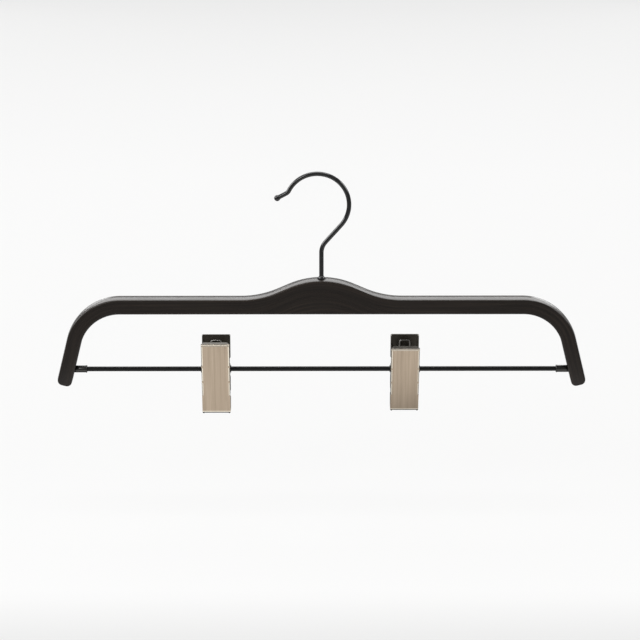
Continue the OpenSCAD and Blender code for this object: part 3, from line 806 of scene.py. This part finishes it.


# antique brass: dark patina all over, brushed bright on the outer face, with a painted highlight along its
# folds and a painted shade line at the toe
def relievedBrass(name, turnDeg, outward, toe, j):
    finish, tree, shader = newFinish(name)
    coords = tree.nodes.new("ShaderNodeTexCoord")
    upright = (math.radians(-turnDeg), 0, 0)           # back to a jaw that hangs straight down
    place = turned(tree, coords.outputs["Object"], turn=upright)
    facing = split(tree, turned(tree, coords.outputs["Normal"], turn=upright))
    out = calc(tree, "MULTIPLY", facing[1], outward)
    aboveToe = calc(tree, "SUBTRACT", split(tree, place)[2], toe)
    hair = noise(tree, place, *j["hair"])
    bands = noise(tree, place, *j["bands"])
    mixed = calc(tree, "MULTIPLY_ADD", hair, 0.5, calc(tree, "MULTIPLY", bands, 0.5))
    # painted shade: a dark band along the toe, where its fold faces down
    aboveToeShade = spread(tree, aboveToe, j["toeShadeHeight"] * mm, (j["toeShadeHeight"] + j["toeShadeFade"]) * mm)
    # patina, a touch darker on the top flange, brushed off on the outer face
    base = blendColour(tree, spread(tree, facing[2], *j["flangeFacing"]), j["patina"], j["flange"])
    brushed = spread(tree, calc(tree, "MULTIPLY_ADD", hair, j["hairShare"], out), *j["brushedFacing"])
    brushed = calc(tree, "MULTIPLY", brushed, aboveToeShade)
    colour = blendColour(tree, brushed, base, ramp(tree, mixed, *j["brass"]))
    # painted highlight: a near-white line round the folds and on the line above the toe
    offFlat = spread(tree, out, *j["flatFacing"], 1.0, 0.0)
    folds = calc(tree, "MULTIPLY", spread(tree, out, *j["highlightFacing"]), offFlat)
    low, high = (j["toeHighlight"] - j["toeHighlightFade"]) * mm, j["toeHighlight"] * mm
    toeHighlightLine = calc(tree, "MULTIPLY", spread(tree, aboveToe, low, high, 1.0, 0.0),
                   spread(tree, out, *j["toeFacing"]))
    paintedHighlight = calc(tree, "MULTIPLY", calc(tree, "MAXIMUM", folds, toeHighlightLine), aboveToeShade)
    colour = blendColour(tree, paintedHighlight, colour, j["paintedHighlight"])
    # painted shade: the band along the toe takes the dark toe tone
    colour = blendColour(tree, aboveToeShade, j["toeShadeTone"], colour)
    tree.links.new(colour, shader.inputs["Base Color"])
    shader.inputs["Metallic"].default_value = 1.0
    rough = spread(tree, mixed, noiseLow, noiseHigh, j["roughnessHigh"], j["roughnessLow"])
    tree.links.new(rough, shader.inputs["Roughness"])
    bump(tree, shader, mixed, j["brushDepth"], j["brushReach"])
    return finish


def blackRubber(p):
    finish, tree, shader = newFinish("blackRubber")
    grit = noise(tree, objectPlace(tree), p["grit"])
    colour = ramp(tree, grit, (noiseLow, p["dark"]), (noiseHigh, p["light"]))
    tree.links.new(colour, shader.inputs["Base Color"])
    shader.inputs["Roughness"].default_value = p["roughness"]
    shader.inputs["Specular IOR Level"].default_value = p["gloss"]
    bump(tree, shader, grit, p["gritDepth"], p["gritReach"])
    return finish


# half of the spring's wire: from the tip on the front jaw, round the coil, to the middle of the bridge
def springLine(s):
    lean = math.radians(hanger["jawLean"])
    coilOut, coilIn, coilR, bridgeR = s["coilOut"], s["bridgeHalf"], s["coilR"], s["bridgeR"]

    def faceY(z, depth):
        return ((s["jawSet"] - depth) + z * math.sin(lean)) / math.cos(lean)

    def tangent(y, z, side):
        return math.atan2(z, y) + side * math.acos(coilR / math.hypot(y, z))

    bridgeY, tipY = faceY(s["bridgeZ"], s["restDepth"]), -faceY(s["tipZ"], s["tipDepth"])
    start = tangent(tipY, s["tipZ"], 1)
    stop = tangent(bridgeY, s["bridgeZ"], -1) + 2 * math.pi
    sweep = stop - start + 2 * math.pi * s["turns"]
    count = math.ceil(s["ringsPerTurn"] * sweep / (2 * math.pi))
    coil = []
    for i in range(count + 1):
        t = i / count
        a = start + t * sweep
        coil.append(Vector((-coilOut + t * (coilOut - coilIn), coilR * math.cos(a), coilR * math.sin(a))))
    tip = Vector((-coilOut, tipY, s["tipZ"]))
    leg = [tip.lerp(coil[0], i / s["legSteps"]) for i in range(s["legSteps"])]
    up = (Vector((0, bridgeY, s["bridgeZ"])) - Vector((0, coil[-1].y, coil[-1].z))).normalized()
    corner = []
    for i in range(s["cornerSteps"] + 1):
        a = math.radians(90 * i / s["cornerSteps"])
        drop = bridgeR * (1 - math.sin(a))
        corner.append(Vector((-coilIn + bridgeR * (1 - math.cos(a)),
                              bridgeY - drop * up.y, s["bridgeZ"] - drop * up.z)))
    rise = [coil[-1].lerp(corner[0], i / s["legSteps"]) for i in range(1, s["legSteps"])]
    return leg + coil + rise + corner + [Vector((0, bridgeY, s["bridgeZ"]))]


def buildJaws(side, swing, rubber):
    for place, sign in (("front", -1), ("back", 1)):
        body = side + "_" + place
        turnDeg = swing - sign * hanger["jawLean"]
        upright = Matrix.Rotation(math.radians(-turnDeg), 3, "X")
        toe = min((upright @ v.co).z for v in nodes[body + "_jaw"].data.vertices)
        name = side + place.title()
        brass = relievedBrass(name + "Brass", turnDeg, sign, toe, jaw)
        sheet = refinedCopy(body + "_jaw", jaw["edge"])
        softenNormals(showMesh(name + "Jaw", sheet, brass, body, [body + "_jaw"], sharpDeg=30))
        pad = refinedCopy(body + "_pad", padRubber["edge"])
        softenNormals(showMesh(name + "Pad", pad, rubber, body, [body + "_pad"], sharpDeg=50))


def buildSleeve(side, x, paint, s):
    r, bore, half, flare, flat = s["outerD"] / 2, s["boreD"] / 2, s["bodyHalf"], s["flare"], s["flareFlat"]
    bead = (s["flareD"] - s["outerD"]) / 2
    end = [(r, half - s["lastRing"]), (r, half), (r + bead, half + s["flareBack"])]
    for deg in range(0, 91, s["flareStepDeg"]):        # the rounded flare at each end
        a = math.radians(deg)
        end.append((r + bead * math.cos(a), half + flat + (flare - flat) * math.sin(a)))
    end.append((bore, half + flare))
    profile = end + [(r, -z) for r, z in end[::-1]]
    shape = bmesh.new()
    turnShape(shape, profile, s["sides"], alongBar(hanger["shankX"] + x))
    showMesh(side + "Sleeve", shape, paint, side + "_slider", [side + "_sleeve"], sharpDeg=45)


# two halves that meet in the middle of the bridge, each bending between the front and the back jaw
def buildSpring(side, x, swing, steel, s):
    centre = hanger["shankX"] + x
    onBar = Matrix.Translation((centre, 0, barZ)) @ Matrix.Rotation(math.radians(swing), 4, "X")
    for half, sign in (("Left", 1), ("Right", -1)):
        path = [Vector((sign * p.x, p.y, p.z)) for p in springLine(s)]
        shape = bmesh.new()
        tubeRings(shape, path, s["wireD"] / 2, s["sides"], Vector((0, 1, 0)))
        piece = showMesh(side + "SpringCoil" + half, shape, steel, None, [side + "_spring"],
                         sharpDeg=60, place=onBar)
        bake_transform(piece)


rubber = blackRubber(padRubber)
springSteel = drawnSteel("springSteel", springWire)
sleevePaint = blackLacquer("blackSleeveLacquer", bar)
for side in ("left", "right"):
    clipX, swing = hanger[side + "ClipX"], hanger[side + "Swing"]
    buildJaws(side, swing, rubber)
    buildSleeve(side, clipX, sleevePaint, sleeve)
    buildSpring(side, clipX, swing, springSteel, springWire)
print("clips built")
